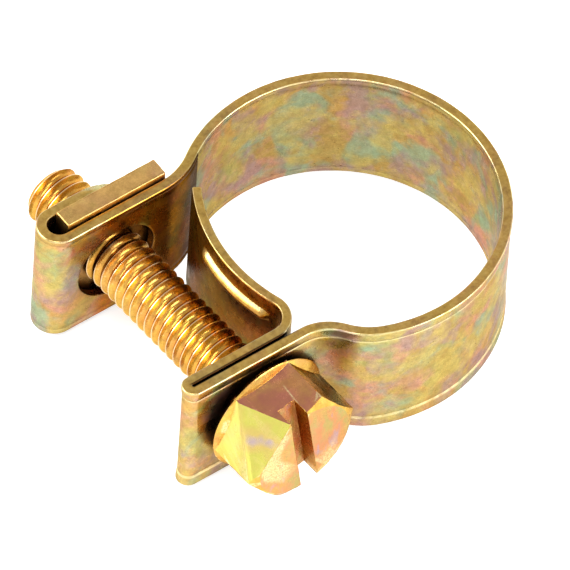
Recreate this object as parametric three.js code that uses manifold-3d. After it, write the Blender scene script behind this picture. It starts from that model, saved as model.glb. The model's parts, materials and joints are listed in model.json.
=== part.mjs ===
// Screw-and-nut hose clamp, also called a mini clamp.
// One strip of sheet is rolled into a ring with two ears. A slotted hex screw passes through both ears
// into a plate nut, and a bridge tongue under the gap keeps the hose from bulging out between the ears.
//
// Frame, in millimetres: +Z runs along the axis of the hose. The ears stand out to -X, and the screw lies
// along Y with its head at -Y. Each piece is drawn about the ring's centre at mid width, and the finished
// clamp is then moved so that the origin is the middle of its box.
//
// The strip is one springy piece. It is divided into four solids where it flexes when the clamp is
// tightened: at the far side of the ring, at the root of the nut ear, and at the root of the tongue.
import * as THREE from "three";
import { mergeVertices } from "three/addons/utils/BufferGeometryUtils.js";
import Module from "manifold-3d";

const wasm = await Module();
wasm.setup();

// The ring's centre, seen from the middle of the clamp's box
const RING_X = 3.21;
const RING_Y = -1.19;

// Strip
const BAND_WIDTH = 9;
const SHEET = 0.7;
const RING_RADIUS = 9.85; // to the middle of the sheet
const FLEX_Y = 5; // where the ring flexes, on its far side
const SEAM_GAP = 0.3; // clearance at each place where the strip is divided

// Head ear: a double plate, hemmed at its tip
const HEAD_PLATE_Y = -6.5;
const BRIDGE_PLATE_Y = -5.68;
const HEM_X = -15.7; // centre of the hem's fold
const HEAD_BEND_START = 247; // degrees round the ring, where it leaves the circle for the ear's root
const HEAD_BEND_TURN = 215.5; // direction in which the root's bend reverses
const HEAD_ROOT_BEND = 2.85; // radius of its reversed part
const HEAD_HOLE_X = -11.1;
const HEAD_HOLE_RADIUS = 2.2;

// Bridge tongue, flatter than the ring
const TONGUE_CENTRE_X = 2.9;
const TONGUE_RADIUS = 11.28;
const TONGUE_SHEET = 0.6;
const TONGUE_BEND = 1.55;
const TONGUE_SEAM_ANGLE = -30; // degrees round the bend
const TONGUE_TIP_ANGLE = 148; // degrees round its own centre
const RIB_RADIUS = 0.45;
const RIB_Z = 2.88;
const RIB_START_ANGLE = 197;
const RIB_END_ANGLE = 167;
const TONGUE_COLUMNS = 26; // divisions of its faces, fine enough for the ribs
const TONGUE_ROWS = 18;

// Nut ear: a loop round the nut
const NUT_LEG_Y = 7.28;
const LOOP_RADIUS = 1.07;
const LOOP_X = -15.2;
const NUT_ROOT_BEND = 4.9;
const NUT_HOLE_X = -11.75;
const NUT_HOLE_RADIUS = 2.8;
const LOOP_END_X = -8.7; // tip of the rounded strip end behind the nut

// Plate nut
const NUT_LENGTH = 7.3;
const NUT_RIGHT_X = -7.7;
const NUT_HEIGHT = 9.8;
const NUT_CLEARANCE = 0.09;
const NUT_BORE_RADIUS = 2.12;

// Screw, M4, leaning a little because its flange rides on the bend at the ear's root
const SCREW_X = -11.36; // where its axis crosses the X axis
const SCREW_LEAN = 2.4; // degrees about Z
const BEARING_Y = -7.12; // bearing face of the flange, measured along the axis
const SCREW_LENGTH = 20.7;
const THREAD_RADIUS = 2;
const THREAD_ROOT_RADIUS = 1.6;
const THREAD_PITCH = 0.7;
const THREAD_SIDES = 16;
const ROWS_PER_TURN = 4;
const TIP_CHAMFER = 0.35;
const FLANGE_RADIUS = 4.1;
const FLANGE_THICKNESS = 0.7;
const FLANGE_CHAMFER = 0.35; // on the bearing side, to clear the bend at the ear's root
const HEX_ACROSS_FLATS = 7;
const HEX_HEIGHT = 3.3;
const HEX_TURN = -9.6; // degrees about the screw
const HEX_CHAMFER = 30; // degrees from the end face
const END_FACE_RADIUS = 3.4;
const SLOT_WIDTH = 1.25;
const SLOT_DEPTH = 1.3;

const ARC_STEP = 5; // degrees between the points of a bend
const ROUND_SIDES = 48;
const PAST = 1; // how far a cut runs past the faces it goes through
const MERGED = 0.2; // how far joined solids run into each other

const radians = THREE.MathUtils.degToRad;
const degrees = THREE.MathUtils.radToDeg;

// A material for yellow-passivated zinc plate in the given shade.
function plate(color, roughness) {
  return new THREE.MeshStandardMaterial({ color, roughness, metalness: 0.9 });
}

const PLATE_SATIN = plate(0xb7a36a, 0.38);
const PLATE_NUT = plate(0xc19a56, 0.42);
const PLATE_SCREW = plate(0xcf9637, 0.3);

// ---------------------------------------------------------------- curves in plan

function line(fromX, fromY, toX, toY) {
  return new THREE.LineCurve(new THREE.Vector2(fromX, fromY), new THREE.Vector2(toX, toY));
}

// An arc between two angles in degrees: it runs clockwise when the second is the smaller.
function arc(x, y, radius, from, to) {
  return new THREE.EllipseCurve(x, y, radius, radius, radians(from), radians(to), to < from);
}

// Centre of the bend that joins a round stretch, centred on the X axis, to a straight one along X.
// The bend lies outside the round stretch, and its centre has the given Y.
function bendCentre(roundCentreX, roundRadius, bendRadius, y) {
  return new THREE.Vector2(roundCentreX - Math.sqrt((roundRadius + bendRadius) ** 2 - y * y), y);
}

// Direction of a point seen from a centre on the X axis, in degrees from 0 to 360.
function bearing(point, centreX = 0) {
  return (degrees(Math.atan2(point.y, point.x - centreX)) + 360) % 360;
}

// Angle in degrees that an arc of this radius turns through over half a seam's gap.
function seamAngle(radius) {
  return degrees(SEAM_GAP / 2 / radius);
}

function stepsOf(curve) {
  if (curve.isLineCurve) return 1;
  return Math.max(3, Math.ceil(degrees(curve.getLength() / curve.xRadius) / ARC_STEP));
}

// Outline of sheet that follows the curves, with half its thickness on each side of them.
function stripShape(curves) {
  const left = [];
  const right = [];
  curves.forEach((curve, index) => {
    const steps = stepsOf(curve);
    for (let i = index === 0 ? 0 : 1; i <= steps; i++) {
      const point = curve.getPoint(i / steps);
      const along = curve.getTangent(i / steps);
      const half = new THREE.Vector2(-along.y, along.x).multiplyScalar(SHEET / 2);
      left.push(point.clone().add(half));
      right.unshift(point.clone().sub(half));
    }
  });
  return new THREE.Shape([...left, ...right]);
}

// ---------------------------------------------------------------- solids

function toSolid(geometry) {
  const bare = geometry.clone();
  bare.deleteAttribute("normal");
  bare.deleteAttribute("uv");
  const merged = mergeVertices(bare);
  return new wasm.Manifold(
    new wasm.Mesh({
      numProp: 3,
      vertProperties: merged.attributes.position.array,
      triVerts: new Uint32Array(merged.index.array),
    }),
  );
}

function toGeometry(solid) {
  const { vertProperties, triVerts } = solid.getMesh();
  const geometry = new THREE.BufferGeometry();
  geometry.setAttribute("position", new THREE.BufferAttribute(vertProperties, 3));
  geometry.setIndex(new THREE.BufferAttribute(triVerts, 1));
  geometry.computeVertexNormals();
  return geometry;
}

function named(name, solid, material) {
  const mesh = new THREE.Mesh(toGeometry(solid), material);
  mesh.name = name;
  return mesh;
}

// Sheet of the band's full width that follows curves in plan.
function strip(curves) {
  const options = { depth: BAND_WIDTH, bevelEnabled: false };
  const geometry = new THREE.ExtrudeGeometry(stripShape(curves), options);
  return toSolid(geometry.translate(0, 0, -BAND_WIDTH / 2));
}

// A cylinder along Y between two planes.
function pillar(x, radius, fromY, toY, sides = ROUND_SIDES) {
  const geometry = new THREE.CylinderGeometry(radius, radius, toY - fromY, sides);
  return toSolid(geometry.translate(x, (fromY + toY) / 2, 0));
}

// A solid turned about Y, from its profile of radius and Y, which starts and ends on the axis.
function turned(profile) {
  const points = profile.map(([radius, y]) => new THREE.Vector2(radius, y));
  return toSolid(new THREE.LatheGeometry(points, ROUND_SIDES));
}

function block(fromX, toX, fromY, toY, height) {
  const geometry = new THREE.BoxGeometry(toX - fromX, toY - fromY, height);
  return toSolid(geometry.translate((fromX + toX) / 2, (fromY + toY) / 2, 0));
}

// ---------------------------------------------------------------- band

const flexAngle = degrees(Math.asin(FLEX_Y / RING_RADIUS));
const headBend = headRootBend();
const tongueRoot = bendCentre(TONGUE_CENTRE_X, TONGUE_RADIUS, TONGUE_BEND, BRIDGE_PLATE_Y + TONGUE_BEND);
const nutRoot = bendCentre(0, RING_RADIUS, NUT_ROOT_BEND, NUT_LEG_Y + NUT_ROOT_BEND);
const nutRootStart = bearing(nutRoot) - 180; // where the bend leaves the ring, round its own centre
const nutSeamAngle = (nutRootStart - 90) / 2;

// The bend at the head ear's root is an S of two arcs. The first has the ring's own sense and starts on the
// ring, the second is reversed and ends on the plate's plane. That fixes the first one's radius.
function headRootBend() {
  const start = radians(HEAD_BEND_START);
  const turn = radians(HEAD_BEND_TURN);
  const reach = HEAD_PLATE_Y - HEAD_ROOT_BEND * (1 + Math.sin(turn)) - RING_RADIUS * Math.sin(start);
  const radius = reach / (Math.sin(turn) - Math.sin(start));
  const centre = new THREE.Vector2(Math.cos(start), Math.sin(start)).multiplyScalar(RING_RADIUS - radius);
  const between = new THREE.Vector2(Math.cos(turn), Math.sin(turn)).multiplyScalar(radius + HEAD_ROOT_BEND);
  return { radius, centre, reversed: centre.clone().add(between) };
}

// Head side of the ring, the outer ear plate, the hem and the inner plate.
function bandHeadSide() {
  const { radius, centre, reversed } = headBend;
  const hemRadius = (BRIDGE_PLATE_Y - HEAD_PLATE_Y) / 2;
  const hemY = (BRIDGE_PLATE_Y + HEAD_PLATE_Y) / 2;
  const sheet = strip([
    arc(0, 0, RING_RADIUS, flexAngle - seamAngle(RING_RADIUS), HEAD_BEND_START - 360),
    arc(centre.x, centre.y, radius, HEAD_BEND_START, HEAD_BEND_TURN),
    arc(reversed.x, reversed.y, HEAD_ROOT_BEND, HEAD_BEND_TURN - 180, 90),
    line(reversed.x, HEAD_PLATE_Y, HEM_X, HEAD_PLATE_Y),
    arc(HEM_X, hemY, hemRadius, 270, 90),
    line(HEM_X, BRIDGE_PLATE_Y, tongueRoot.x, BRIDGE_PLATE_Y),
    arc(tongueRoot.x, tongueRoot.y, TONGUE_BEND, -90, TONGUE_SEAM_ANGLE - seamAngle(TONGUE_BEND)),
  ]);
  const hole = pillar(HEAD_HOLE_X, HEAD_HOLE_RADIUS, HEAD_PLATE_Y - PAST, BRIDGE_PLATE_Y + PAST);
  return named("band_head_side", sheet.subtract(hole), PLATE_SATIN);
}

// Nut side of the ring, up to the middle of the bend at the nut ear's root.
function bandNutSide() {
  const ringEnd = bearing(nutRoot);
  const sheet = strip([
    arc(0, 0, RING_RADIUS, flexAngle + seamAngle(RING_RADIUS), ringEnd),
    arc(nutRoot.x, nutRoot.y, NUT_ROOT_BEND, nutRootStart, nutSeamAngle + seamAngle(NUT_ROOT_BEND)),
  ]);
  return named("band_nut_side", sheet, PLATE_SATIN);
}

// The loop that holds the nut: inner leg, U-bend and outer leg with a rounded end.
function nutEar() {
  const outerLegY = NUT_LEG_Y + 2 * LOOP_RADIUS;
  const endCentreX = LOOP_END_X - BAND_WIDTH / 2;
  const sheet = strip([
    arc(nutRoot.x, nutRoot.y, NUT_ROOT_BEND, nutSeamAngle - seamAngle(NUT_ROOT_BEND), -90),
    line(nutRoot.x, NUT_LEG_Y, LOOP_X, NUT_LEG_Y),
    arc(LOOP_X, NUT_LEG_Y + LOOP_RADIUS, LOOP_RADIUS, -90, -270),
    line(LOOP_X, outerLegY, LOOP_END_X, outerLegY),
  ]);
  const hole = pillar(NUT_HOLE_X, NUT_HOLE_RADIUS, NUT_LEG_Y - PAST, outerLegY + PAST);
  const end = block(endCentreX, LOOP_END_X + PAST, outerLegY - SHEET, outerLegY + SHEET, BAND_WIDTH + PAST);
  const corners = end.subtract(pillar(endCentreX, BAND_WIDTH / 2, outerLegY - PAST, outerLegY + PAST));
  return named("nut_ear", sheet.subtract(hole).subtract(corners), PLATE_SATIN);
}

// How far the tongue is pressed out at a bearing and height: two long half-round ribs.
function ribHeight(angle, z) {
  const faceRadius = TONGUE_RADIUS + TONGUE_SHEET / 2;
  const beyondStart = radians(angle - RIB_START_ANGLE) * faceRadius + RIB_RADIUS;
  const beyondEnd = radians(RIB_END_ANGLE - angle) * faceRadius + RIB_RADIUS;
  const endwise = Math.max(0, beyondStart, beyondEnd);
  const sideways = Math.abs(z) - RIB_Z;
  return Math.sqrt(Math.max(0, RIB_RADIUS ** 2 - endwise ** 2 - sideways ** 2));
}

// A finely divided slab is wrapped along the tongue's curves, and both its faces are pressed out at the ribs.
function tongue() {
  const faceStart = bearing(tongueRoot, TONGUE_CENTRE_X);
  const seamEnd = TONGUE_SEAM_ANGLE + seamAngle(TONGUE_BEND);
  const path = new THREE.CurvePath();
  path.add(arc(tongueRoot.x, tongueRoot.y, TONGUE_BEND, seamEnd, faceStart - 180));
  path.add(arc(TONGUE_CENTRE_X, 0, TONGUE_RADIUS, faceStart, TONGUE_TIP_ANGLE));
  const length = path.getLength();
  const geometry = new THREE.BoxGeometry(length, TONGUE_SHEET, BAND_WIDTH, TONGUE_COLUMNS, 1, TONGUE_ROWS);
  const position = geometry.attributes.position;
  for (let i = 0; i < position.count; i++) {
    const share = THREE.MathUtils.clamp(position.getX(i) / length + 0.5, 0, 1);
    const z = position.getZ(i);
    const middle = path.getPoint(share);
    const along = path.getTangent(share);
    const out = position.getY(i) + ribHeight(bearing(middle, TONGUE_CENTRE_X), z);
    position.setXYZ(i, middle.x - along.y * out, middle.y + along.x * out, z);
  }
  return named("bridge_tongue", toSolid(geometry), PLATE_SATIN);
}

// ---------------------------------------------------------------- screw and nut

// Threaded shank along Y: a finely divided cylinder whose skin rises and falls along a helix.
function threadedShank(fromY, toY) {
  const rows = Math.round((ROWS_PER_TURN * (toY - fromY)) / THREAD_PITCH);
  const geometry = new THREE.CylinderGeometry(1, 1, toY - fromY, THREAD_SIDES, rows);
  geometry.translate(0, (fromY + toY) / 2, 0);
  const position = geometry.attributes.position;
  const depth = THREAD_RADIUS - THREAD_ROOT_RADIUS;
  for (let i = 0; i < position.count; i++) {
    const [x, y, z] = [position.getX(i), position.getY(i), position.getZ(i)];
    const onSkin = Math.hypot(x, z) > 0.5; // not the middle of an end face
    if (!onSkin) continue;
    const turns = (y - fromY) / THREAD_PITCH - Math.atan2(x, z) / (2 * Math.PI);
    const ridge = Math.abs(2 * (turns - Math.floor(turns)) - 1);
    const chamfer = Math.max(0, y - (toY - TIP_CHAMFER));
    const radius = Math.min(THREAD_ROOT_RADIUS + depth * ridge, THREAD_RADIUS - chamfer);
    position.setXYZ(i, radius * x, y, radius * z);
  }
  return toSolid(geometry);
}

// Chamfered hex on a round flange, slotted from flat to flat.
function screwHead() {
  const flangeY = BEARING_Y - FLANGE_THICKNESS;
  const topY = flangeY - HEX_HEIGHT;
  const halfFlat = radians(30);
  const corner = HEX_ACROSS_FLATS / 2 / Math.cos(halfFlat);
  const turn = radians(HEX_TURN);
  const hex = new THREE.CylinderGeometry(corner, corner, HEX_HEIGHT + MERGED, 6).rotateY(halfFlat + turn);
  const slotLength = 2 * HEX_ACROSS_FLATS;
  const slot = new THREE.BoxGeometry(SLOT_WIDTH, 2 * SLOT_DEPTH, slotLength).rotateY(turn);
  const domeRadius = FLANGE_RADIUS;
  const dome = turned([
    [0, topY],
    [END_FACE_RADIUS, topY],
    [domeRadius, topY + (domeRadius - END_FACE_RADIUS) * Math.tan(radians(HEX_CHAMFER))],
    [domeRadius, flangeY],
    [0, flangeY],
  ]);
  const flange = turned([
    [0, flangeY],
    [FLANGE_RADIUS, flangeY],
    [FLANGE_RADIUS, BEARING_Y - FLANGE_CHAMFER],
    [FLANGE_RADIUS - FLANGE_CHAMFER, BEARING_Y],
    [0, BEARING_Y],
  ]);
  return toSolid(hex.translate(0, (topY + flangeY) / 2, 0))
    .intersect(dome)
    .add(flange)
    .subtract(toSolid(slot.translate(0, topY, 0)));
}

function clampScrew() {
  const shank = threadedShank(BEARING_Y - MERGED, BEARING_Y + SCREW_LENGTH);
  const screw = named("clamp_screw", screwHead().add(shank), PLATE_SCREW);
  screw.position.x = SCREW_X;
  screw.rotation.z = radians(SCREW_LEAN);
  return screw;
}

function plateNut() {
  const fromY = NUT_LEG_Y + SHEET / 2 + NUT_CLEARANCE;
  const toY = NUT_LEG_Y + 2 * LOOP_RADIUS - SHEET / 2 - NUT_CLEARANCE;
  const bar = block(NUT_RIGHT_X - NUT_LENGTH, NUT_RIGHT_X, fromY, toY, NUT_HEIGHT);
  const boreX = SCREW_X - ((fromY + toY) / 2) * Math.tan(radians(SCREW_LEAN));
  const bore = pillar(boreX, NUT_BORE_RADIUS, fromY - PAST, toY + PAST);
  return named("plate_nut", bar.subtract(bore), PLATE_NUT);
}

const clamp = new THREE.Group();
clamp.add(bandHeadSide(), bandNutSide(), nutEar(), tongue(), clampScrew(), plateNut());
clamp.position.set(RING_X, RING_Y, 0);

export default clamp;
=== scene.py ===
import json
import math

import bmesh
import bpy
import numpy as np
from mathutils import Matrix, Vector


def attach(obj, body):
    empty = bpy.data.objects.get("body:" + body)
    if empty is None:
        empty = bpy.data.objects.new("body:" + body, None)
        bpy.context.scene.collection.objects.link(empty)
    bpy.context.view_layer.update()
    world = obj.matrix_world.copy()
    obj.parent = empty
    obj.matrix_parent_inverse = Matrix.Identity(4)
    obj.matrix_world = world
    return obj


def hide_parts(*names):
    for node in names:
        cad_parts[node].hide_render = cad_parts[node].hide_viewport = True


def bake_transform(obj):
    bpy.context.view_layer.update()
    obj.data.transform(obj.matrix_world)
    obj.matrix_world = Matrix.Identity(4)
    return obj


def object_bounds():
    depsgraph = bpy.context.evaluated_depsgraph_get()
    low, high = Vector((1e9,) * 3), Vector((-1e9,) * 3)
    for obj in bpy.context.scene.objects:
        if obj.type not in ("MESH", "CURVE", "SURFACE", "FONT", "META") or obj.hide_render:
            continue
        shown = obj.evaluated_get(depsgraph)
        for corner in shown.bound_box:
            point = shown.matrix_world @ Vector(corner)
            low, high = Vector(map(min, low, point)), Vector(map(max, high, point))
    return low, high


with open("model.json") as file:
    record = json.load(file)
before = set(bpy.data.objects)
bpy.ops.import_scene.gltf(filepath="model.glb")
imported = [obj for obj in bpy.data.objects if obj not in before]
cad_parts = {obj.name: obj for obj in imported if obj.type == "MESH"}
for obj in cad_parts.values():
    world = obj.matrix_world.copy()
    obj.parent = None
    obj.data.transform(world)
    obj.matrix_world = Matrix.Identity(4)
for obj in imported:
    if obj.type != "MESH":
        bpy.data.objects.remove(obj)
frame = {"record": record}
cad_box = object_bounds()

MM = 0.001
PHYSICS = frame["record"]["physics"]
BORE_BOX = next(o["box_m"] for o in PHYSICS["openings"] if o["name"] == "hose_bore")
RING_CENTRE = (Vector(BORE_BOX[0]) + Vector(BORE_BOX[1])) / 2

# ---------------------------------------------------------------- dimensions, in millimetres

BAND_HALF = 4.5  # half the strip's width
FACE_IN = -0.35  # the sheet's faces, measured from its middle: inwards is the hose's side
FACE_OUT = 0.27
RING_RADIUS = 9.85

HEAD_PLATE_Y = -6.5
BRIDGE_PLATE_Y = -5.68
HEM_X = -15.7
HEAD_BEND_START = 247  # degrees round the ring, where it leaves the circle for the ear's root
HEAD_BEND_TURN = 215.5  # direction in which the root's bend reverses
HEAD_ROOT_BEND = 2.85  # radius of its reversed part
GAP_END_X = -8.4  # where the head ear's plates part, towards the ring
HEAD_HOLE_X = -11.1
HEAD_HOLE = 2.2

TONGUE_CENTRE_X = 2.9  # the tongue is flatter than the ring
TONGUE_RADIUS = 11.28
TONGUE_BEND = 1.55
TONGUE_SEAM = -70  # degrees round the root's bend, where the tongue's piece begins
TONGUE_TIP_ANGLE = 148
TONGUE_HALF_SHEET = 0.3
RIB_RADIUS = 0.4
RIB_HEIGHT = 0.36
RIB_Z = 2.88
RIB_START_ANGLE = 197.4
RIB_END_ANGLE = 167.3

NUT_LEG_Y = 7.28
LOOP_RADIUS = 1.07
LOOP_X = -15.2
NUT_ROOT_BEND = 4.9
NUT_SEAM_ANGLE = 122  # round the ring, where the nut ear's piece begins
NUT_HOLE_X = -11.75
NUT_HOLE = 2.8
LOOP_END_X = -8.7

NUT_LENGTH = 7.3
NUT_RIGHT_X = -7.7
NUT_HEIGHT = 9.77
NUT_THICKNESS = 1.3

SCREW_X = -11.36  # where its axis crosses the X axis
SCREW_LEAN = 2.4  # degrees about Z
SCREW_LENGTH = 20.7
BEARING_Y = -7.12
THREAD_RADIUS = 1.98
THREAD_ROOT = 1.66
THREAD_PITCH = 0.7
THREAD_FULLNESS = 1.15  # above 1, the crest is a narrow flat
THREAD_SHARPNESS = 2.2  # the higher, the wider the valley between two crests
THREAD_STATIONS = (0, 0.03, 0.07, 0.13, 0.2, 0.3, 0.4, 0.5, 0.6, 0.7, 0.8, 0.87, 0.93, 0.97)  # of a pitch
TIP_CHAMFER = 0.35
ROD_SIDES = 96
BORE_CLEARANCE = 0.06  # of the nut's thread, round the screw's
FLANGE_RADIUS = 4.1
FLANGE_RIM = 0.38
FLANGE_CHAMFER = 0.35
FLANGE_THICKNESS = 0.7
HEX_ACROSS_FLATS = 7
HEX_HEIGHT = 3.3
HEX_TURN = -9.6
END_FACE_RADIUS = 3.4
HEX_CHAMFER = 30  # degrees from the end face
SLOT_WIDTH = 1.25
SLOT_DEPTH = 1.3

EDGE_ROUNDING = 0.08  # of a hole's edges
HEAD_ROUNDING = 0.07
NUT_ROUNDING = 0.1
TIP_ROUNDING = 0.1  # of the tongue's free end
WAVE = (0.012, 2.2)  # how far the strip's faces wander, and over what length
RAGGED = (0.012, 0.5)  # the same for its edges
RAGGED_FROM = 4.1  # height above the strip's middle at which its edges begin to wander
RAGGED_OVER = 0.3
HEAD_UNEVEN = (0.02, 0.22)
NUT_UNEVEN = (0.02, 0.3)
PAST = 0.5  # how far a cut runs past the faces it goes through
HOLE_PAST = 0.3  # the same for a hole in one leg, which stays clear of the other leg
REACH = 6  # past either side of the strip and of the head
MERGED = 0.2  # how far the hexagon runs into the flange

ARC_STEP = 0.22  # the longest step along a curve
ARC_STEP_DEGREES = 4
LINE_STEP = 0.3


# ---------------------------------------------------------------- plan curves

def arc(centre, radius, start, end):
    """Points and directions along an arc between two angles in degrees."""
    sweep_angle = abs(end - start)
    count = math.ceil(max(sweep_angle / ARC_STEP_DEGREES, math.radians(sweep_angle) * radius / ARC_STEP))
    angles = np.radians(np.linspace(start, end, count + 1))
    out = np.stack([np.cos(angles), np.sin(angles)], axis=1)
    turn = 1 if end > start else -1
    directions = turn * np.stack([-out[:, 1], out[:, 0]], axis=1)
    return np.array(centre) + radius * out, directions


def line(start, end):
    """Points and directions along a straight line."""
    start, end = np.array(start, float), np.array(end, float)
    length = np.linalg.norm(end - start)
    shares = np.linspace(0, 1, math.ceil(length / LINE_STEP) + 1)[:, None]
    points = start + shares * (end - start)
    return points, np.tile((end - start) / length, (len(points), 1))


def joined(*stretches):
    """One path from stretches that follow one another."""
    points = [stretches[0][0]] + [s[0][1:] for s in stretches[1:]]
    directions = [stretches[0][1]] + [s[1][1:] for s in stretches[1:]]
    return np.concatenate(points), np.concatenate(directions)


def bend_centre(round_centre_x, round_radius, bend_radius, y):
    """Centre of the bend that joins a round stretch, centred on the X axis, to a straight one along X."""
    return round_centre_x - math.sqrt((round_radius + bend_radius) ** 2 - y * y), y


def bearing(point, centre_x=0.0):
    return math.degrees(math.atan2(point[1], point[0] - centre_x)) % 360


TONGUE_ROOT = bend_centre(TONGUE_CENTRE_X, TONGUE_RADIUS, TONGUE_BEND, BRIDGE_PLATE_Y + TONGUE_BEND)
NUT_ROOT = bend_centre(0, RING_RADIUS, NUT_ROOT_BEND, NUT_LEG_Y + NUT_ROOT_BEND)


def head_root_path():
    """The S of two arcs from the ring to the head ear's plate, and the X at which it ends."""
    start, turn = np.radians((HEAD_BEND_START, HEAD_BEND_TURN))
    reach = HEAD_PLATE_Y - HEAD_ROOT_BEND * (1 + math.sin(turn)) - RING_RADIUS * math.sin(start)
    radius = reach / (math.sin(turn) - math.sin(start))
    centre = (RING_RADIUS - radius) * np.array([math.cos(start), math.sin(start)])
    reversed_centre = centre + (radius + HEAD_ROOT_BEND) * np.array([math.cos(turn), math.sin(turn)])
    first = arc(centre, radius, HEAD_BEND_START, HEAD_BEND_TURN)
    second = arc(reversed_centre, HEAD_ROOT_BEND, HEAD_BEND_TURN - 180, 90)
    return joined(first, second), reversed_centre[0]


# ---------------------------------------------------------------- meshes

def to_object(name, mesh_data):
    """A mesh object from (vertices, faces), with its faces turned out."""
    vertices, faces = mesh_data
    mesh = bpy.data.meshes.new(name)
    mesh.from_pydata([tuple(v) for v in vertices], [], faces)
    shaped = bmesh.new()
    shaped.from_mesh(mesh)
    bmesh.ops.recalc_face_normals(shaped, faces=shaped.faces)
    if shaped.calc_volume(signed=True) < 0:
        bmesh.ops.reverse_faces(shaped, faces=shaped.faces)
    shaped.to_mesh(mesh)
    shaped.free()
    piece = bpy.data.objects.new(name, mesh)
    bpy.context.scene.collection.objects.link(piece)
    shade(piece)
    return piece


def shade(piece, smooth_below=35):
    """Smooth shading, broken at the edges sharper than an angle in degrees."""
    piece.data.shade_smooth()
    piece.data.set_sharp_from_angle(angle=math.radians(smooth_below))


def applied(piece):
    """The piece with its modifiers made part of its mesh."""
    graph = bpy.context.evaluated_depsgraph_get()
    mesh = bpy.data.meshes.new_from_object(piece.evaluated_get(graph))
    piece.modifiers.clear()
    piece.data = mesh
    return piece


def combined(piece, other, operation):
    """The piece after a boolean with another one, which is used up."""
    modifier = piece.modifiers.new("boolean", "BOOLEAN")
    modifier.operation = operation
    modifier.solver = "MANIFOLD"
    modifier.object = other
    applied(piece)
    bpy.data.objects.remove(other)
    return piece


def grid_faces(rows, columns, closed=True):
    """Quads of a grid of vertices stored row by row, each row closed on itself or left open."""
    faces = []
    for i in range(rows - 1):
        for j in range(columns if closed else columns - 1):
            here, below = i * columns, (i + 1) * columns
            right = (j + 1) % columns
            faces.append((here + j, here + right, below + right, below + j))
    return faces


def swept(sections):
    """A closed solid from a row of equal closed sections, capped at both ends."""
    rows, columns = sections.shape[:2]
    faces = grid_faces(rows, columns)
    faces.append(tuple(range(columns)))
    faces.append(tuple(range((rows - 1) * columns, rows * columns)))
    return sections.reshape(-1, 3), faces


def turned(profile, x=0):
    """A solid turned about the line along Y at x, from (radius, y) points that start and end on it."""
    sides = 128
    angles = np.linspace(0, 2 * math.pi, sides, endpoint=False)
    inner = profile[1:-1]
    vertices = [(x + r * math.sin(a), y, r * math.cos(a)) for r, y in inner for a in angles]
    faces = grid_faces(len(inner), sides)
    first, last = len(vertices), len(vertices) + 1
    vertices += [(x, profile[0][1], 0), (x, profile[-1][1], 0)]
    base = (len(inner) - 1) * sides
    for j in range(sides):
        right = (j + 1) % sides
        faces.append((first, right, j))
        faces.append((last, base + j, base + right))
    return vertices, faces


def box(low, high):
    """A box between two corners."""
    corners = [(x, y, z) for x in (low[0], high[0]) for y in (low[1], high[1]) for z in (low[2], high[2])]
    faces = [(0, 1, 3, 2), (4, 6, 7, 5), (0, 4, 5, 1), (2, 3, 7, 6), (0, 2, 6, 4), (1, 5, 7, 3)]
    return corners, faces


def quarter(centre, radii, start, steps=5):
    """Points of a quarter of an ellipse, from an angle in degrees."""
    angles = np.radians(np.linspace(start, start + 90, steps + 1))
    return [(centre[0] + radii[0] * math.cos(a), centre[1] + radii[1] * math.sin(a)) for a in angles]


def ripple(points, size):
    """A smooth value between about -1 and 1 at each point, which varies over about the given size."""
    x, y, z = (np.asarray(points) / size).T
    return (
        np.sin(2.1 * x + 1.3 * y + 0.7 * z)
        + np.sin(1.7 * y - 2.3 * z + 1.9)
        + np.sin(2.6 * z + 1.1 * x - 0.8 * y + 4.2)
        + np.sin(3.1 * x - 2.2 * y + 1.6 * z + 2.7)
    ) / 4


# ---------------------------------------------------------------- strip

def half_profile():
    """Upper half of the sheet's cross-section, as (offset, height), from the outer face to the inner one.

    The rolling leaves a groove beside each edge, and a lip that stands away from the hose.
    """
    flat = [(FACE_OUT, z) for z in (0.3, 1.0, 1.8, 2.6, 3.2, 3.55)]
    groove = [(FACE_OUT - 0.02, 3.62), (FACE_OUT - 0.045, 3.67), (FACE_OUT - 0.02, 3.72)]
    lip = [(FACE_OUT + 0.02, 3.77), (FACE_OUT + 0.04, 3.9), (FACE_OUT + 0.06, 4.1), (FACE_OUT + 0.07, 4.3)]
    outer_corner = quarter((FACE_OUT - 0.04, BAND_HALF - 0.11), (0.11, 0.11), 0, 4)
    inner_corner = quarter((FACE_IN + 0.12, BAND_HALF - 0.16), (0.12, 0.16), 90, 5)
    cut = [(0.12, BAND_HALF), (0.0, BAND_HALF)]
    inner_groove = [(FACE_IN, 4.12), (FACE_IN + 0.03, 4.07), (FACE_IN + 0.03, 4.03), (FACE_IN, 3.97)]
    inner_flat = [(FACE_IN, z) for z in (3.6, 3.2, 2.6, 1.8, 1.0, 0.3)]
    return flat + groove + lip + outer_corner + cut + inner_corner + inner_groove + inner_flat


def sheet_profile():
    """The whole cross-section of the band's sheet."""
    upper = half_profile()
    lower = [(n, -z) for n, z in reversed(upper)]
    return np.array(upper + lower)


def strip_sections(path, profile):
    """The profile at each point of a path: offsets are to the left of travel."""
    points, directions = path
    left = np.stack([-directions[:, 1], directions[:, 0]], axis=1)
    sections = np.empty((len(points), len(profile), 3))
    sections[:, :, :2] = points[:, None] + left[:, None] * profile[None, :, :1]
    sections[:, :, 2] = profile[:, 1]
    middle = np.concatenate([points, np.zeros((len(points), 1))], axis=1)
    wave = WAVE[0] * ripple(middle, WAVE[1])[:, None] * left
    sections[:, :, :2] += wave[:, None]
    edge = np.clip((np.abs(sections[:, :, 2]) - RAGGED_FROM) / RAGGED_OVER, 0, 1)
    ragged = RAGGED[0] * ripple(sections.reshape(-1, 3), RAGGED[1]).reshape(edge.shape) * edge
    sections[:, :, 2] -= np.sign(sections[:, :, 2]) * (RAGGED[0] + ragged)
    return sections


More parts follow.
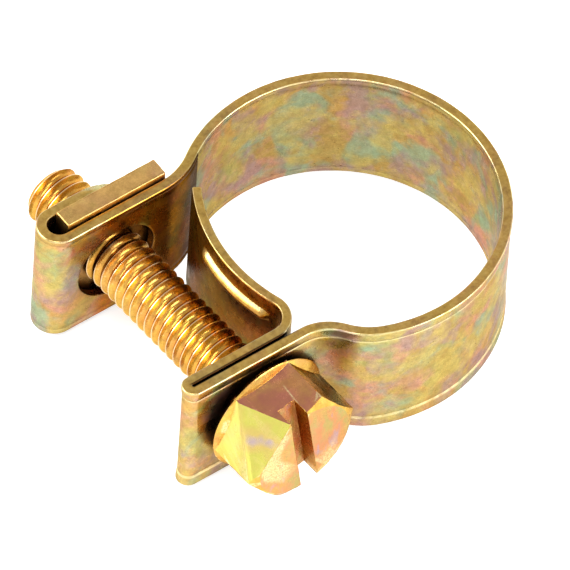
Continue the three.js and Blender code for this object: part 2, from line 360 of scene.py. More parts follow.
def hole_cutter(x, radius, low, high):
    """Cuts a round hole along Y through sheet between two faces, and rounds the hole's edges."""
    flare = radius + EDGE_ROUNDING
    radii = (EDGE_ROUNDING, EDGE_ROUNDING)
    lower_edge = quarter((flare, low + EDGE_ROUNDING), radii, 180)[::-1]
    upper_edge = quarter((flare, high - EDGE_ROUNDING), radii, 90)[::-1]
    start, end = low - HOLE_PAST, high + HOLE_PAST
    profile = [(0, start), (flare, start), *lower_edge, *upper_edge, (flare, end), (0, end)]
    return to_object("hole", turned(profile, x))


def band():
    """The ring with the head ear: outer plate, hem and inner plate."""
    hem_radius = (BRIDGE_PLATE_Y - HEAD_PLATE_Y) / 2
    hem_centre = (HEM_X, (BRIDGE_PLATE_Y + HEAD_PLATE_Y) / 2)
    root_path, plate_x = head_root_path()
    path = joined(
        arc((0, 0), RING_RADIUS, NUT_SEAM_ANGLE, HEAD_BEND_START - 360),
        root_path,
        line((plate_x, HEAD_PLATE_Y), (HEM_X, HEAD_PLATE_Y)),
        arc(hem_centre, hem_radius, 270, 90),
        line((HEM_X, BRIDGE_PLATE_Y), (TONGUE_ROOT[0], BRIDGE_PLATE_Y)),
        arc(TONGUE_ROOT, TONGUE_BEND, -90, TONGUE_SEAM),
    )
    piece = to_object("band", swept(strip_sections(path, sheet_profile())))
    outer = hole_cutter(HEAD_HOLE_X, HEAD_HOLE, HEAD_PLATE_Y - FACE_OUT, HEAD_PLATE_Y - FACE_IN)
    inner = hole_cutter(HEAD_HOLE_X, HEAD_HOLE, BRIDGE_PLATE_Y + FACE_IN, BRIDGE_PLATE_Y + FACE_OUT)
    combined(piece, outer, "DIFFERENCE")
    return combined(piece, inner, "DIFFERENCE")


def nut_ear():
    """The loop that holds the nut, with the bend at its root."""
    outer_y = NUT_LEG_Y + 2 * LOOP_RADIUS
    root_end = bearing(NUT_ROOT) - 180
    path = joined(
        line((LOOP_END_X, outer_y), (LOOP_X, outer_y)),
        arc((LOOP_X, NUT_LEG_Y + LOOP_RADIUS), LOOP_RADIUS, 90, 270),
        line((LOOP_X, NUT_LEG_Y), (NUT_ROOT[0], NUT_LEG_Y)),
        arc(NUT_ROOT, NUT_ROOT_BEND, -90, root_end),
        arc((0, 0), RING_RADIUS, bearing(NUT_ROOT), NUT_SEAM_ANGLE),
    )
    piece = to_object("nut_ear_loop", swept(strip_sections(path, sheet_profile())))
    inner = hole_cutter(NUT_HOLE_X, NUT_HOLE, NUT_LEG_Y + FACE_IN, NUT_LEG_Y + FACE_OUT)
    outer = hole_cutter(NUT_HOLE_X, NUT_HOLE, outer_y - FACE_OUT, outer_y - FACE_IN)
    combined(piece, inner, "DIFFERENCE")
    combined(piece, outer, "DIFFERENCE")
    end_x = LOOP_END_X - BAND_HALF
    low, high = outer_y - PAST, outer_y + PAST
    rounded_end = [(0, low), (BAND_HALF, low), (BAND_HALF, high), (0, high)]
    corners = box((end_x, outer_y - 0.45, -REACH), (LOOP_END_X + 1, outer_y + 0.45, REACH))
    corners = to_object("corners", corners)
    combined(corners, to_object("round", turned(rounded_end, end_x)), "DIFFERENCE")
    return combined(piece, corners, "DIFFERENCE")


def rib_height(angles, z):
    """How far the tongue is pressed out: two long ribs with rounded crests and pointed ends."""
    beyond_start = np.radians(angles - RIB_START_ANGLE) * TONGUE_RADIUS + RIB_RADIUS
    beyond_end = (np.radians(RIB_END_ANGLE - angles) * TONGUE_RADIUS + RIB_RADIUS) * 0.5
    endwise = np.maximum(0, np.maximum(beyond_start, beyond_end))
    sideways = np.abs(z) - RIB_Z
    away = np.sqrt(endwise ** 2 + sideways ** 2) / RIB_RADIUS
    return RIB_HEIGHT * np.clip(1 - away ** 2, 0, 1) ** 0.8


def tongue_profile():
    """The tongue's cross-section: fine enough across for its ribs."""
    half = TONGUE_HALF_SHEET
    heights = np.concatenate([np.linspace(0.1, 2.1, 6), np.linspace(2.2, 3.75, 18), [4.0, 4.2, 4.35]])
    corner = quarter((half - 0.1, BAND_HALF - 0.11), (0.1, 0.1), 0, 4)
    upper = [(half, z) for z in heights] + corner
    upper += [(0.1, BAND_HALF - 0.01), (-0.1, BAND_HALF - 0.01)]
    upper += [(-n, z) for n, z in reversed(corner)] + [(-half, z) for z in heights[::-1]]
    lower = [(n, -z) for n, z in reversed(upper)]
    return np.array(upper + lower)


def tip_section(last, middle, direction, turn):
    """The tongue's last section, carried some degrees round the rounding of its free end."""
    inset = TIP_ROUNDING * (1 - math.cos(math.radians(turn)))
    section = last.copy()
    section[:, :2] = middle + (last[:, :2] - middle) * (1 - inset / TONGUE_HALF_SHEET)
    section[:, 2] *= 1 - inset / BAND_HALF
    section[:, :2] += TIP_ROUNDING * math.sin(math.radians(turn)) * direction
    return section


def tongue():
    """The bridge tongue with its two pressed ribs, and the bend at its root."""
    face_start = bearing(TONGUE_ROOT, TONGUE_CENTRE_X)
    root_bend = arc(TONGUE_ROOT, TONGUE_BEND, TONGUE_SEAM, face_start - 180)
    face = arc((TONGUE_CENTRE_X, 0), TONGUE_RADIUS, face_start, TONGUE_TIP_ANGLE)
    path = joined(root_bend, face)
    sections = strip_sections(path, tongue_profile())
    points, directions = path
    left = np.stack([-directions[:, 1], directions[:, 0]], axis=1)
    angles = np.degrees(np.arctan2(points[:, 1], points[:, 0] - TONGUE_CENTRE_X)) % 360
    angles[: len(root_bend[0])] = 360
    pressed = rib_height(angles[:, None], sections[:, :, 2])
    sections[:, :, :2] += pressed[:, :, None] * left[:, None]
    tip = [tip_section(sections[-1], points[-1], directions[-1], turn) for turn in (22.5, 45, 67.5, 90)]
    return to_object("bridge_tongue_sheet", swept(np.concatenate([sections, tip])))


# ---------------------------------------------------------------- screw and nut

def rod(low, high, grow=0.0):
    """A right-handed threaded rod along Y, which reaches at least from one height to the other."""
    turns = range(math.floor(low / THREAD_PITCH) - 1, math.ceil(high / THREAD_PITCH) + 1)
    shares = np.concatenate([turn + np.array(THREAD_STATIONS) for turn in turns])
    angles = np.linspace(0, 2 * math.pi, ROD_SIDES, endpoint=False)
    ridge = np.minimum(THREAD_FULLNESS * abs(2 * (shares % 1) - 1) ** THREAD_SHARPNESS, 1)
    radius = (THREAD_ROOT + (THREAD_RADIUS - THREAD_ROOT) * ridge + grow)[:, None]
    heights = THREAD_PITCH * (shares[:, None] + angles / (2 * math.pi))
    skin = np.stack([radius * np.sin(angles), heights, radius * np.cos(angles)], axis=2)
    rows, columns = skin.shape[:2]
    turn, last = len(THREAD_STATIONS), columns - 1
    faces = grid_faces(rows, columns, closed=False)
    for i in range(rows - turn - 1):  # the last column joins the first one, a turn further on
        far = (i + turn) * columns
        faces.append((i * columns + last, far, far + columns, (i + 1) * columns + last))
    # each end is closed by a fan from the axis to the edge of the last turn
    start = list(range(columns)) + [i * columns for i in range(turn, 0, -1)]
    top = (rows - 1) * columns
    end = list(range(top, top + columns)) + [(rows - 1 - i) * columns + last for i in range(1, turn + 1)]
    middles = [(0, heights[0, 0], 0), (0, heights[-1, -1], 0)]
    for middle, loop in zip((rows * columns, rows * columns + 1), (start, end)):
        faces += [(middle, here, following) for here, following in zip(loop, loop[1:] + loop[:1])]
    return to_object("rod", (np.concatenate([skin.reshape(-1, 3), middles]), faces))


def shank():
    """The screw's threaded shank, cut to length with a chamfered tip."""
    low, high = BEARING_Y - 0.3, BEARING_Y + SCREW_LENGTH
    spare = 0.3  # how far the cutting profile stands off the thread
    wide = THREAD_RADIUS + spare
    tip_start = high - TIP_CHAMFER - spare
    ends = [(0, low), (wide, low), (wide, tip_start), (THREAD_RADIUS - TIP_CHAMFER, high), (0, high)]
    return combined(rod(low, high), to_object("ends", turned(ends)), "INTERSECT")


def hex_prism(low, high):
    """The screw's hexagon between two heights."""
    corner = HEX_ACROSS_FLATS / 2 / math.cos(math.radians(30))
    angles = [math.radians(60 * k + 30 + HEX_TURN) for k in range(6)]
    ring = [(corner * math.sin(a), corner * math.cos(a)) for a in angles]
    vertices = [(x, y, z) for y in (low, high) for x, z in ring]
    faces = [tuple(range(6)), tuple(range(6, 12))]
    faces += [(k, (k + 1) % 6, 6 + (k + 1) % 6, 6 + k) for k in range(6)]
    return vertices, faces


def with_rounded_edges(piece, width):
    """The piece with its edges divided and bevelled."""
    sharp = math.radians(25)  # the least bend of an edge that is rounded
    spacing = 0.25  # between the points along a divided edge
    shaped = bmesh.new()
    shaped.from_mesh(piece.data)
    flat = math.radians(0.5)
    bmesh.ops.dissolve_limit(shaped, angle_limit=flat, verts=shaped.verts, edges=shaped.edges)
    long_edges = [e for e in shaped.edges if e.calc_length() > 2 * spacing and e.calc_face_angle(0) > sharp]
    for edge in long_edges:
        bmesh.ops.subdivide_edges(shaped, edges=[edge], cuts=int(edge.calc_length() / spacing))
    shaped.to_mesh(piece.data)
    shaped.free()
    modifier = piece.modifiers.new("rounded", "BEVEL")
    modifier.width = width
    modifier.segments = 3
    modifier.limit_method = "ANGLE"
    modifier.angle_limit = sharp
    modifier.use_clamp_overlap = True
    applied(piece)
    shade(piece, 30)
    return piece


def roughened(piece, amount, size):
    """The piece with its points moved a little in and out."""
    mesh = piece.data
    points = np.empty(len(mesh.vertices) * 3)
    normals = np.empty(len(mesh.vertices) * 3)
    mesh.vertices.foreach_get("co", points)
    mesh.vertices.foreach_get("normal", normals)
    points, normals = points.reshape(-1, 3), normals.reshape(-1, 3)
    moved = points + amount * (ripple(points, size)[:, None] - 0.5) * normals
    mesh.vertices.foreach_set("co", moved.ravel())
    mesh.update()
    return piece


def corner_cutter(flange_y, top_y):
    """Shears one of the hexagon's corners off by a plane that slants from the flange to the end face."""
    flat = HEX_ACROSS_FLATS / 2
    root = Vector((-flat * math.tan(math.radians(30)), flange_y, flat))
    front = Vector((-SLOT_WIDTH / 2, top_y, flat))
    side = Vector((-flat / math.cos(math.radians(30)), top_y, 0))
    out = (front - root).cross(side - root).normalized()
    if out.x > 0:
        out.negate()
    reach = 8  # past the whole head
    cutter = to_object("cutter", box((-reach, -reach, 0), (reach, reach, reach)))
    slant = out.to_track_quat("Z", "Y").to_matrix().to_4x4()
    turn = Matrix.Rotation(math.radians(HEX_TURN), 4, "Y")
    cutter.data.transform(turn @ Matrix.Translation(front) @ slant)
    return cutter


def screw_head():
    """Chamfered hexagon on a conical flange, slotted from flat to flat."""
    flange_y = BEARING_Y - FLANGE_THICKNESS
    top_y = flange_y - HEX_HEIGHT
    base_y = BEARING_Y - MERGED
    rise = (FLANGE_RADIUS - END_FACE_RADIUS) * math.tan(math.radians(HEX_CHAMFER))
    dome = [
        (0, top_y),
        (END_FACE_RADIUS, top_y),
        (FLANGE_RADIUS, top_y + rise),
        (FLANGE_RADIUS, base_y),
        (0, base_y),
    ]
    flange = [
        (0, flange_y),
        (3.3, flange_y),
        (FLANGE_RADIUS - 0.1, BEARING_Y - FLANGE_RIM - 0.06),
        (FLANGE_RADIUS, BEARING_Y - FLANGE_RIM + 0.03),
        (FLANGE_RADIUS, BEARING_Y - FLANGE_CHAMFER),
        (FLANGE_RADIUS - FLANGE_CHAMFER, BEARING_Y),
        (0, BEARING_Y),
    ]
    head = to_object("clamp_screw_m4", hex_prism(top_y, base_y))
    combined(head, to_object("dome", turned(dome)), "INTERSECT")
    combined(head, corner_cutter(flange_y, top_y), "DIFFERENCE")
    combined(head, to_object("flange", turned(flange)), "UNION")
    slot = box((-SLOT_WIDTH / 2, top_y - PAST, -REACH), (SLOT_WIDTH / 2, top_y + SLOT_DEPTH, REACH))
    slot = to_object("slot", slot)
    slot.data.transform(Matrix.Rotation(math.radians(HEX_TURN), 4, "Y"))
    combined(head, slot, "DIFFERENCE")
    with_rounded_edges(head, HEAD_ROUNDING)
    return roughened(head, *HEAD_UNEVEN)


def on_screw_axis(piece):
    """The piece moved from the Y axis to the screw's own, which leans."""
    lean = Matrix.Rotation(math.radians(SCREW_LEAN), 4, "Z")
    piece.data.transform(Matrix.Translation((SCREW_X, 0, 0)) @ lean)
    return piece


def screw():
    """The slotted hex screw with its M4 thread."""
    head = combined(screw_head(), shank(), "UNION")
    shade(head, 40)
    return on_screw_axis(head)


def nut():
    """The threaded bar in the nut ear."""
    middle_y = NUT_LEG_Y + LOOP_RADIUS
    half = NUT_THICKNESS / 2
    left_x = NUT_RIGHT_X - NUT_LENGTH
    low = (left_x, middle_y - half, -NUT_HEIGHT / 2)
    high = (NUT_RIGHT_X, middle_y + half, NUT_HEIGHT / 2)
    piece = with_rounded_edges(to_object("plate_nut_m4", box(low, high)), NUT_ROUNDING)
    roughened(piece, *NUT_UNEVEN)
    bore = on_screw_axis(rod(middle_y - half - PAST, middle_y + half + PAST, grow=BORE_CLEARANCE))
    combined(piece, bore, "DIFFERENCE")
    shade(piece)
    return piece


# ---------------------------------------------------------------- finishes

class Finish:
    """A node material with short calls to add and join its nodes."""

    def __init__(self, name):
        self.material = bpy.data.materials.new(name)
        self.material.use_nodes = True
        self.tree = self.material.node_tree
        self.tree.nodes.clear()
        output = self.tree.nodes.new("ShaderNodeOutputMaterial")
        self.shader = self.tree.nodes.new("ShaderNodeBsdfPrincipled")
        self.tree.links.new(self.shader.outputs[0], output.inputs[0])
        coordinates = self.tree.nodes.new("ShaderNodeTexCoord").outputs["Object"]
        self.place = self.vector("SCALE", coordinates, scale=1 / MM)

    def put(self, socket, value):
        if hasattr(value, "default_value") and hasattr(value, "is_output"):
            self.tree.links.new(value, socket)
        else:
            socket.default_value = value

    def vector(self, operation, first, second=None, scale=None):
        node = self.tree.nodes.new("ShaderNodeVectorMath")
        node.operation = operation
        self.put(node.inputs[0], first)
        if second is not None:
            self.put(node.inputs[1], second)
        if scale is not None:
            self.put(node.inputs["Scale"], scale)
        return node.outputs["Value"] if operation in ("DOT_PRODUCT", "LENGTH") else node.outputs[0]

    def math(self, operation, first, second=0.0):
        node = self.tree.nodes.new("ShaderNodeMath")
        node.operation = operation
        self.put(node.inputs[0], first)
        self.put(node.inputs[1], second)
        return node.outputs[0]

    def product(self, first, second):
        return self.math("MULTIPLY", first, second)

    def ranged(self, value, low, high, to_low=0.0, to_high=1.0):
        """The value carried smoothly from one range to another, and held at the ends."""
        node = self.tree.nodes.new("ShaderNodeMapRange")
        node.interpolation_type = "SMOOTHSTEP"
        for socket, number in zip(node.inputs[1:5], (low, high, to_low, to_high)):
            socket.default_value = number
        self.put(node.inputs[0], value)
        return node.outputs[0]

    def noise(self, per_mm, detail, roughness=0.5, distortion=0.0, place=None):
        node = self.tree.nodes.new("ShaderNodeTexNoise")
        self.put(node.inputs["Vector"], self.place if place is None else place)
        node.inputs["Scale"].default_value = per_mm
        node.inputs["Detail"].default_value = detail
        node.inputs["Roughness"].default_value = roughness
        node.inputs["Distortion"].default_value = distortion
        return node.outputs[0]

    def ramp(self, value, stops):
        node = self.tree.nodes.new("ShaderNodeValToRGB")
        elements = node.color_ramp.elements
        while len(elements) < len(stops):
            elements.new(0.5)
        for element, (place, colour) in zip(elements, stops):
            element.position = place
            element.color = rgba(colour)
        self.put(node.inputs[0], value)
        return node.outputs[0]

    def mix(self, share, first, second, blend="MIX"):
        node = self.tree.nodes.new("ShaderNodeMix")
        node.data_type = "RGBA"
        node.blend_type = blend
        self.put(node.inputs["Factor"], share)
        self.put(node.inputs[6], first)
        self.put(node.inputs[7], second)
        return node.outputs[2]

    def parts(self, vector):
        node = self.tree.nodes.new("ShaderNodeSeparateXYZ")
        self.put(node.inputs[0], vector)
        return node.outputs

    def normal(self):
        return self.tree.nodes.new("ShaderNodeNewGeometry").outputs["Normal"]

    def occlusion(self, reach):
        """How open a place is to its surroundings within some millimetres, from 0 to 1."""
        node = self.tree.nodes.new("ShaderNodeAmbientOcclusion")
        node.samples = 8
        node.inputs["Distance"].default_value = reach * MM
        return node.outputs["AO"]

    def pointed(self):
        """How sharply the surface is turned outwards, about 0.5 where it is flat."""
        return self.tree.nodes.new("ShaderNodeNewGeometry").outputs["Pointiness"]

    def on_ring(self):
        """The place in millimetres about the ring's centre."""
        return self.vector("SUBTRACT", self.place, tuple(RING_CENTRE / MM))

    def facing(self, direction, low, high):
        """1 where the surface faces a direction, and 0 away from it, between two cosines."""
        return self.ranged(self.vector("DOT_PRODUCT", self.normal(), tuple(direction)), low, high)

    def bump(self, height, distance, strength):
        node = self.tree.nodes.new("ShaderNodeBump")
        node.inputs["Strength"].default_value = strength
        node.inputs["Distance"].default_value = distance * MM
        self.put(node.inputs["Height"], height)
        return node.outputs[0]


def rgba(colour):
    """Scene-linear values of an opaque display colour given as 0 to 255."""
    shares = [c / 255 for c in colour]
    return (*[c / 12.92 if c <= 0.04045 else ((c + 0.055) / 1.055) ** 2.4 for c in shares], 1)


WHITE = (255, 255, 255)
BAND_GOLD = (200, 168, 98)

# Interference colours of the passivation, each drifting in patches of its own, so many to a millimetre
BAND_TINTS = [
    ((184, 190, 122), 0.26),
    ((224, 176, 104), 0.31),
    ((222, 160, 142), 0.29),
    ((158, 190, 160), 0.36),
    ((186, 154, 152), 0.42),
    ((218, 196, 110), 0.37),
]
SCREW_TINTS = [((238, 170, 78), 0.24), ((232, 206, 104), 0.3), ((214, 156, 104), 0.4)]
NUT_TINTS = [((206, 152, 124), 0.3), ((226, 196, 114), 0.36)]

SPECK = (84, 58, 24)
PAINTED_CORNER_HIGHLIGHT = (252, 236, 176)  # painted highlight along the strip's edges
WORN_EDGE_AND_HIGHLIGHT = (250, 226, 168)  # wear and painted highlight on the edges of the screw and the nut
PAINTED_GAP_SHADE = (52, 32, 14)  # painted shade between the head ear's two plates
# painted shade in the thread's roots, and pale crests that are wear and painted highlight
THREAD_ROOT_PAINTED_SHADE = (190, 118, 38)
THREAD_CREST_WEAR_AND_HIGHLIGHT = (252, 222, 180)
HEAD_FLAT_LIGHT_AND_TINTS = [  # the hexagon's flats: their directions about the screw in degrees, and their colours, which paint each flat's light and shade along with its tint
    (HEX_TURN, (196, 122, 102)),
    (HEX_TURN + 60, (92, 96, 40)),
    (HEX_TURN - 60, (214, 182, 88)),
]
SHEARED_DIRECTION = (-0.774, -0.322, 0.545)  # that the hexagon's sheared corner faces

# Ramps, as the place and the colour of each stop
MOTTLE = [(0.3, (214, 208, 204)), (0.68, WHITE)]
GRAIN = [(0.3, (216, 214, 210)), (0.7, WHITE)]
PAINTED_HOLLOW_SHADE = [(0.05, (84, 62, 36)), (0.3, (190, 160, 118)), (0.6, WHITE)]  # painted shade in hollows, by how open the place is
CUT_EDGE = [(0.3, (150, 112, 54)), (0.5, (184, 146, 72)), (0.75, (204, 172, 96))]
END_FACE = [
    (0.36, (186, 172, 110)),
    (0.46, (204, 160, 112)),
    (0.56, (216, 150, 108)),
    (0.68, (190, 158, 166)),
]
SHEARED = [
    (0.3, (186, 168, 176)),
    (0.4, (214, 190, 110)),
    (0.55, (206, 204, 96)),
    (0.7, (236, 216, 140)),
]

# Painted shade on the faces that look into the clamp's mouth: the direction they face, the ends of the
# stretch in plan, and the painted shades along it
EAR_PAINTED_SHADE = ((0, -1, 0), (-15.5, 7), (-6, 7), [
    (0.2, WHITE),
    (0.34, (255, 214, 130)),
    (0.6, (255, 214, 120)),
    (0.8, (196, 150, 80)),
    (1.0, (120, 92, 52)),
])
TONGUE_PAINTED_SHADE = ((-0.9, -0.3, 0), (-8, -5), (-7, 6), [
    (0.0, (170, 130, 84)),
    (0.3, (230, 196, 136)),
    (0.65, (226, 204, 136)),
    (1.0, (176, 164, 104)),
])


def mouth_shaded(finish, colour, mouth_shade):
    """The colour darkened by painted shade on the faces that look into the clamp's mouth."""
    direction, start, end, stops = mouth_shade
    along = Vector((*end, 0)) - Vector((*start, 0))
    from_start = finish.vector("SUBTRACT", finish.on_ring(), (*start, 0))
    share = finish.vector("DOT_PRODUCT", from_start, tuple(along / along.length_squared))
    drift = finish.product(finish.math("SUBTRACT", finish.noise(0.5, 2), 0.5), 0.3)
    shade_colour = finish.ramp(finish.math("ADD", share, drift), stops)
    darkened = finish.mix(1.0, colour, shade_colour, "MULTIPLY")
    return finish.mix(finish.facing(direction, 0.3, 0.7), colour, darkened)


def between_plates(finish):
    """1 in the gap between the head ear's two plates, and 0 elsewhere."""
    along, across, _ = finish.parts(finish.on_ring())
    past_outer = finish.ranged(across, HEAD_PLATE_Y + 0.2, HEAD_PLATE_Y + 0.3)
    before_inner = finish.ranged(across, BRIDGE_PLATE_Y - 0.18, BRIDGE_PLATE_Y - 0.28)
    past_fold = finish.ranged(along, HEM_X - 0.2, HEM_X)
    before_root = finish.ranged(along, GAP_END_X + 0.4, GAP_END_X)
    return finish.product(finish.product(past_outer, before_inner), finish.product(past_fold, before_root))


def tinted(finish, colour, tints, share):
    """The colour under tints that drift in soft patches, each up to a share of the whole."""
    for index, (tint, per_mm) in enumerate(tints):
        elsewhere = (17.0 * index + 3, 9.0 * index, 5.0 * index)
        patch = finish.noise(per_mm, 3, 0.6, 0.35, finish.vector("ADD", finish.place, elsewhere))
        colour = finish.mix(finish.ranged(patch, 0.46, 0.64, 0, share), colour, rgba(tint))
    return colour


def strip_edged(finish, colour, cut):
    """The colour with the strip's cut edges, painted highlights on its corners and painted shade in the gap
    between the plates.
    """
    up = finish.math("ABSOLUTE", finish.parts(finish.normal())[2])
    colour = finish.mix(finish.product(cut, 0.85), colour, finish.ramp(finish.noise(2.6, 4, 0.7), CUT_EDGE))
    corner = finish.product(finish.ranged(up, 0.2, 0.45), finish.ranged(up, 0.97, 0.8))
    # painted highlight on the rounded corners, broken up in patches
    corner_highlight = finish.product(corner, finish.ranged(finish.noise(1.6, 2), 0.25, 0.55))
    colour = finish.mix(finish.product(corner_highlight, 0.5), colour, rgba(PAINTED_CORNER_HIGHLIGHT))
    # painted shade in the gap between the head ear's two plates
    return finish.mix(between_plates(finish), colour, rgba(PAINTED_GAP_SHADE))


def strip_cut(finish):
    """1 on the strip's cut edges, and 0 elsewhere."""
    up = finish.math("ABSOLUTE", finish.parts(finish.normal())[2])
    height = finish.math("ABSOLUTE", finish.parts(finish.place)[2])
    return finish.product(finish.ranged(up, 0.9, 0.99), finish.ranged(height, 4.2, 4.35))


def worn_and_highlit_edges(finish, colour, grain):
    """The colour with bright wear and painted highlights on the edges that stand out."""
    wear_and_highlight = finish.product(finish.ranged(finish.pointed(), 0.6, 0.72), finish.ranged(grain, 0.3, 0.6))
    # bright wear and painted highlight on the edges
    return finish.mix(finish.product(wear_and_highlight, 0.75), colour, rgba(WORN_EDGE_AND_HIGHLIGHT))


def plated(name, gold, tints, share, roughness, strip=False, mouth_shade=None, colours_and_painted_light=None):
    """Yellow-passivated zinc plate: gold with soft drifting tints, specks, grain and fine scratches, with
    painted shade in its hollows.
    """
    finish = Finish(name)
    colour = tinted(finish, rgba(gold), tints, share)
    mottle = finish.ramp(finish.noise(1.7, 4, 0.65, 0.3), MOTTLE)
    colour = finish.mix(0.8, colour, mottle, "MULTIPLY")
    grain = finish.noise(8.0, 3, 0.7)
    colour = finish.mix(0.7, colour, finish.ramp(grain, GRAIN), "MULTIPLY")
    specks = finish.ranged(finish.noise(4.5, 2, 0.5), 0.69, 0.78)
    colour = finish.mix(finish.product(specks, 0.6), colour, rgba(SPECK))
    matt = finish.ranged(finish.noise(1.1, 3, 0.6), 0.3, 0.7, roughness - 0.05, roughness + 0.08)
    if strip:
        cut = strip_cut(finish)
        colour = strip_edged(finish, colour, cut)
        matt = finish.math("ADD", matt, finish.product(cut, 0.1))
    if mouth_shade:
        # painted shade on the faces that look into the clamp's mouth
        colour = mouth_shaded(finish, colour, mouth_shade)
    if colours_and_painted_light:
        # colours that include painted light and shade
        colour = colours_and_painted_light(finish, colour)
    if not strip:
        colour = worn_and_highlit_edges(finish, colour, grain)
    # painted shade in hollows, crevices and between parts, from ambient occlusion
    colour = finish.mix(0.85, colour, finish.ramp(finish.occlusion(2.0), PAINTED_HOLLOW_SHADE), "MULTIPLY")
    stretched = finish.vector("MULTIPLY", finish.place, (1.0, 1.0, 0.12))
    scratches = finish.noise(9.0, 2, 0.6, 0, stretched)
    relief = finish.math("ADD", finish.product(grain, 0.6), finish.product(scratches, 0.4))
    finish.put(finish.shader.inputs["Base Color"], colour)
    finish.put(finish.shader.inputs["Specular Tint"], finish.mix(0.5, colour, rgba(WHITE)))
    finish.put(finish.shader.inputs["Metallic"], 1.0)
    finish.put(finish.shader.inputs["Roughness"], matt)
    finish.put(finish.shader.inputs["Normal"], finish.bump(relief, 0.02, 0.5))
    return finish.material


def thread_coloured(finish, colour, away, on_shank):
    """The colour with painted shade in the thread's roots and pale crests that are partly wear and partly
    painted highlight.
    """
    root = finish.product(on_shank, finish.ranged(away, THREAD_ROOT + 0.16, THREAD_ROOT))
    crest = finish.product(on_shank, finish.ranged(away, THREAD_RADIUS - 0.07, THREAD_RADIUS - 0.015))
    # painted shade in the roots, then wear and painted highlight on the crests
    colour = finish.mix(finish.product(root, 0.4), colour, rgba(THREAD_ROOT_PAINTED_SHADE))
    return finish.mix(finish.product(crest, 0.8), colour, rgba(THREAD_CREST_WEAR_AND_HIGHLIGHT))


def head_coloured(finish, colour, axis, on_head):
    """The colour with one of its own on each of the head's faces, the flats painted lighter and darker as
    the light falls on them.
    """
    blotches = finish.ranged(finish.noise(0.45, 3, 0.6), 0.35, 0.65, 0.55, 0.95)
    share = finish.product(on_head, blotches)
    # painted light and shade on each flat, as well as its tint
    for turn, tint in HEAD_FLAT_LIGHT_AND_TINTS:
        angle = math.radians(turn)
        facing = finish.facing((math.sin(angle), 0, math.cos(angle)), 0.95, 0.98)
        colour = finish.mix(finish.product(share, facing), colour, rgba(tint))
    sheared = finish.product(on_head, finish.facing(SHEARED_DIRECTION, 0.93, 0.97))
    patches = finish.noise(0.3, 3, 0.6, 0.2, finish.vector("ADD", finish.place, (4, 2, 7)))
    colour = finish.mix(finish.product(sheared, 0.9), colour, finish.ramp(patches, SHEARED))
    streaks = finish.noise(0.7, 3, 0.6, 0.3, finish.vector("MULTIPLY", finish.place, (1.6, 0.5, 0.6)))
    end = finish.product(share, finish.facing((-axis[0], -axis[1], 0), 0.9, 0.96))
    return finish.mix(end, colour, finish.ramp(streaks, END_FACE))


def screw_colours(finish, colour):
    """The screw's colours on its thread and on its head, with painted shade in the thread's roots and
    painted light and shade on the head's flats.
    """
    lean = math.radians(SCREW_LEAN)
    axis = (-math.sin(lean), math.cos(lean), 0)
    from_axis = finish.vector("SUBTRACT", finish.on_ring(), (SCREW_X, 0, 0))
    along = finish.vector("DOT_PRODUCT", from_axis, axis)
    away = finish.vector("LENGTH", finish.vector("CROSS_PRODUCT", from_axis, axis))
    on_shank = finish.ranged(along, BEARING_Y - 0.05, BEARING_Y + 0.05)
    colour = thread_coloured(finish, colour, away, on_shank)
    return head_coloured(finish, colour, axis, finish.math("SUBTRACT", 1.0, on_shank))


def studio_floor():
    """A plain white floor, which glows a little for the camera alone so that it stays pale."""
    finish = Finish("studio_floor")
    seen = finish.tree.nodes.new("ShaderNodeLightPath").outputs["Is Camera Ray"]
    finish.put(finish.shader.inputs["Base Color"], (0.8, 0.8, 0.8, 1))
    finish.put(finish.shader.inputs["Roughness"], 0.9)
    finish.put(finish.shader.inputs["Emission Color"], rgba(WHITE))
    glow = finish.math("ADD", finish.product(seen, 0.3), 0.42)
    finish.put(finish.shader.inputs["Emission Strength"], glow)
    return finish.material


# ---------------------------------------------------------------- pieces on their bodies

def place(piece, material, slot):
    """Moves a piece from millimetres about the ring's centre into the frame, and gives it its finish."""
    piece.data.transform(Matrix.Translation(RING_CENTRE) @ Matrix.Scale(MM, 4))
    piece.data.materials.clear()
    piece.data.materials.append(material)
    return piece


def blended(piece):
    """Bakes the piece's placement into its mesh."""
    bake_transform(piece)


def build_clamp():
    satin = plated("satin_plate", BAND_GOLD, BAND_TINTS, 0.75, 0.28, True)
    ear_satin = plated("ear_plate", BAND_GOLD, BAND_TINTS, 0.75, 0.28, True, EAR_PAINTED_SHADE)
    tongue_satin = plated("tongue_plate", BAND_GOLD, BAND_TINTS, 0.6, 0.28, True, TONGUE_PAINTED_SHADE)
    bright = plated("screw_plate", (242, 190, 90), SCREW_TINTS, 0.45, 0.22, colours_and_painted_light=screw_colours)
    tan = plated("nut_plate", (232, 186, 112), NUT_TINTS, 0.5, 0.3)

    ring = place(band(), satin, "band_plate")
    blended(ring)
    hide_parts("band_head_side", "band_nut_side")

    ear = place(nut_ear(), ear_satin, "band_plate")
    blended(ear)
    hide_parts("nut_ear")

    bridge = place(tongue(), tongue_satin, "band_plate")
    blended(bridge)
    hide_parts("bridge_tongue")

    bolt = place(screw(), bright, "screw_plate")
    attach(bolt, "screw")
    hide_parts("clamp_screw")

    bar = place(nut(), tan, "nut_plate")
    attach(bar, "nut")
    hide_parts("plate_nut")


# ---------------------------------------------------------------- studio

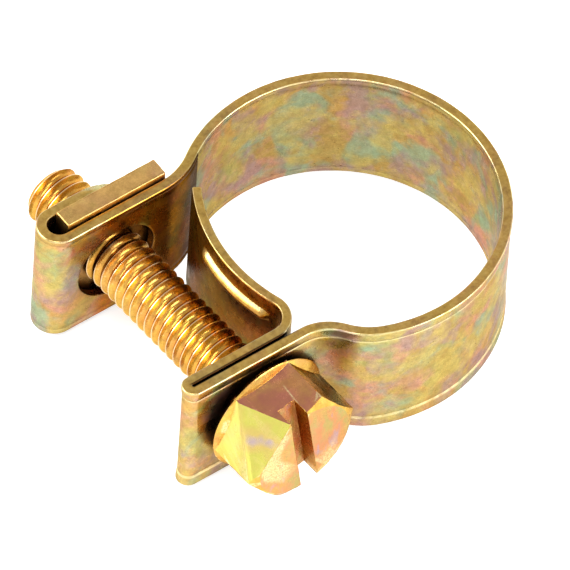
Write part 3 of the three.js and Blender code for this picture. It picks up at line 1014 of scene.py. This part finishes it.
AZIMUTH = -39.5
ELEVATION = 51.87
ROLL = 4.15
DISTANCE = 1.4  # metres
FRAME_WIDTH = 34.41  # how much the picture spans at the clamp
AIM = (-3.39, -2.175)  # the picture's middle, right and up of the ring's centre
SENSOR = 36
SKY = [(0.02, 1.0), (0.15, 1.3), (0.5, 1.2), (0.72, 0.75), (0.98, 0.6)]  # brightness by height
FLOOR_REACH = 3  # metres
SOFTBOX_DISTANCE = 0.5
SOFTBOXES = [  # azimuth, elevation, width, height and watts of each
    ("key", -126, 36, 0.3, 0.3, 1.8),
    ("fill", 27, 27, 0.3, 0.2, 1.4),
    ("top", -60, 75, 0.2, 0.2, 0.8),
]


def view_axes():
    """The camera's right, up and back, with its roll."""
    azimuth, elevation, roll = map(math.radians, (AZIMUTH, ELEVATION, ROLL))
    flat = math.cos(elevation)
    back = Vector((math.sin(azimuth) * flat, -math.cos(azimuth) * flat, math.sin(elevation)))
    right = Vector((math.cos(azimuth), math.sin(azimuth), 0))
    up = back.cross(right)
    return (
        math.cos(roll) * right + math.sin(roll) * up,
        -math.sin(roll) * right + math.cos(roll) * up,
        back,
    )


def add_camera():
    right, up, back = view_axes()
    data = bpy.data.cameras.new("camera")
    data.sensor_width = SENSOR
    data.lens = SENSOR * DISTANCE / (FRAME_WIDTH * MM)
    data.clip_start = 0.001
    data.clip_end = 20
    camera = bpy.data.objects.new("camera", data)
    aim = RING_CENTRE + (right * AIM[0] + up * AIM[1]) * MM
    turn = Matrix((right, up, back)).transposed().to_4x4()
    camera.matrix_world = Matrix.Translation(aim + back * DISTANCE) @ turn
    bpy.context.scene.collection.objects.link(camera)
    bpy.context.scene.camera = camera


def add_floor():
    level = cad_box[0].z
    corners = [(x * FLOOR_REACH, y * FLOOR_REACH, level) for x, y in ((-1, -1), (1, -1), (1, 1), (-1, 1))]
    floor = to_object("floor", (corners, [(0, 1, 2, 3)]))
    floor.data.materials.append(studio_floor())


def add_softbox(name, azimuth, elevation, width, height, watts):
    """A soft rectangular light aimed at the clamp."""
    data = bpy.data.lights.new(name, "AREA")
    data.shape = "RECTANGLE"
    data.size = width
    data.size_y = height
    data.energy = watts
    lamp = bpy.data.objects.new(name, data)
    a, e = math.radians(azimuth), math.radians(elevation)
    back = Vector((math.sin(a) * math.cos(e), -math.cos(a) * math.cos(e), math.sin(e)))
    lamp.location = RING_CENTRE + back * SOFTBOX_DISTANCE
    lamp.rotation_mode = "QUATERNION"
    lamp.rotation_quaternion = back.to_track_quat("Z", "Y")
    bpy.context.scene.collection.objects.link(lamp)


def add_world():
    """Pale surroundings, brightest a little above the horizon and dimmer overhead."""
    world = bpy.data.worlds.new("studio")
    world.use_nodes = True
    nodes, links = world.node_tree.nodes, world.node_tree.links
    nodes.clear()
    output = nodes.new("ShaderNodeOutputWorld")
    background = nodes.new("ShaderNodeBackground")
    direction = nodes.new("ShaderNodeTexCoord").outputs["Generated"]
    separate = nodes.new("ShaderNodeSeparateXYZ")
    ramp = nodes.new("ShaderNodeValToRGB")
    elements = ramp.color_ramp.elements
    for height, level in SKY:
        elements.new(height).color = (level, level, level, 1)
    for end in (elements[0], elements[-1]):  # at the horizon and below it, and straight up
        end.color = (SKY[-1][1],) * 3 + (1,)
    links.new(direction, separate.inputs[0])
    links.new(separate.outputs["Z"], ramp.inputs[0])
    links.new(ramp.outputs[0], background.inputs["Color"])
    links.new(background.outputs[0], output.inputs[0])
    bpy.context.scene.world = world


def add_studio():
    scene = bpy.context.scene
    scene.view_settings.view_transform = "Standard"
    add_world()
    add_floor()
    add_camera()
    for softbox in SOFTBOXES:
        add_softbox(*softbox)


build_clamp()
add_studio()
